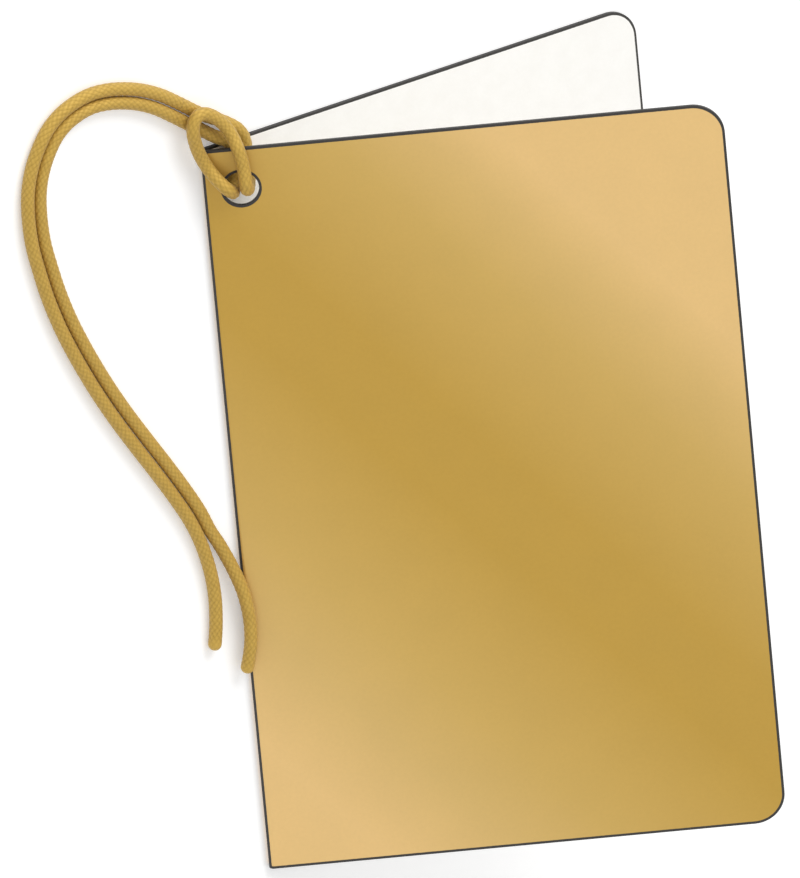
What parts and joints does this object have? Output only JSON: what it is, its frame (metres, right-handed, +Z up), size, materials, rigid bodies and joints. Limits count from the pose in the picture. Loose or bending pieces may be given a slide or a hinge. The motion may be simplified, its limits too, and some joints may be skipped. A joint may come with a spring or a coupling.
{
  "type": "folded hang tag with doubled cord",
  "caption": "Folded card hang tag, gold outside and white inside, with a doubled cord looped through the corner hole of its front cover.",
  "frame": {"origin": "on the table, under the middle of the back leaf", "axes": "+Y along the spine towards the end with the cord hole, +X from the spine to the free edge, +Z up"},
  "size_m": [0.0846, 0.102, 0.0323],
  "materials": {
    "white_board": "uncoated white card",
    "gold_facing": "satin gold metallised paper with a diagonal sheen",
    "gold_cord": "gold braided cord with sealed round tips"
  },
  "bodies": {
    "back_leaf": {"back_board": "white_board", "back_facing": "gold_facing", "fold_strip": "gold_facing", "cord_left_tail": "gold_cord", "cord_right_tail": "gold_cord"},
    "front_cover": {"cover_board": "white_board", "cover_facing": "gold_facing", "cord_loop": "gold_cord", "cord_right_end": "gold_cord"}
  },
  "joints": [
    {"name": "cover_fold", "type": "hinge", "parent": "back_leaf", "child": "front_cover", "pos_m": [-0.02937, 0, 0.00063], "axis": [0, -1, 0], "range_deg": [-6, 88.4], "stiffness_Nm_per_rad": 0.01, "springref_deg": 2.92, "deforming": ["fold_strip", "cord_loop", "cord_right_end"]}
  ]
}
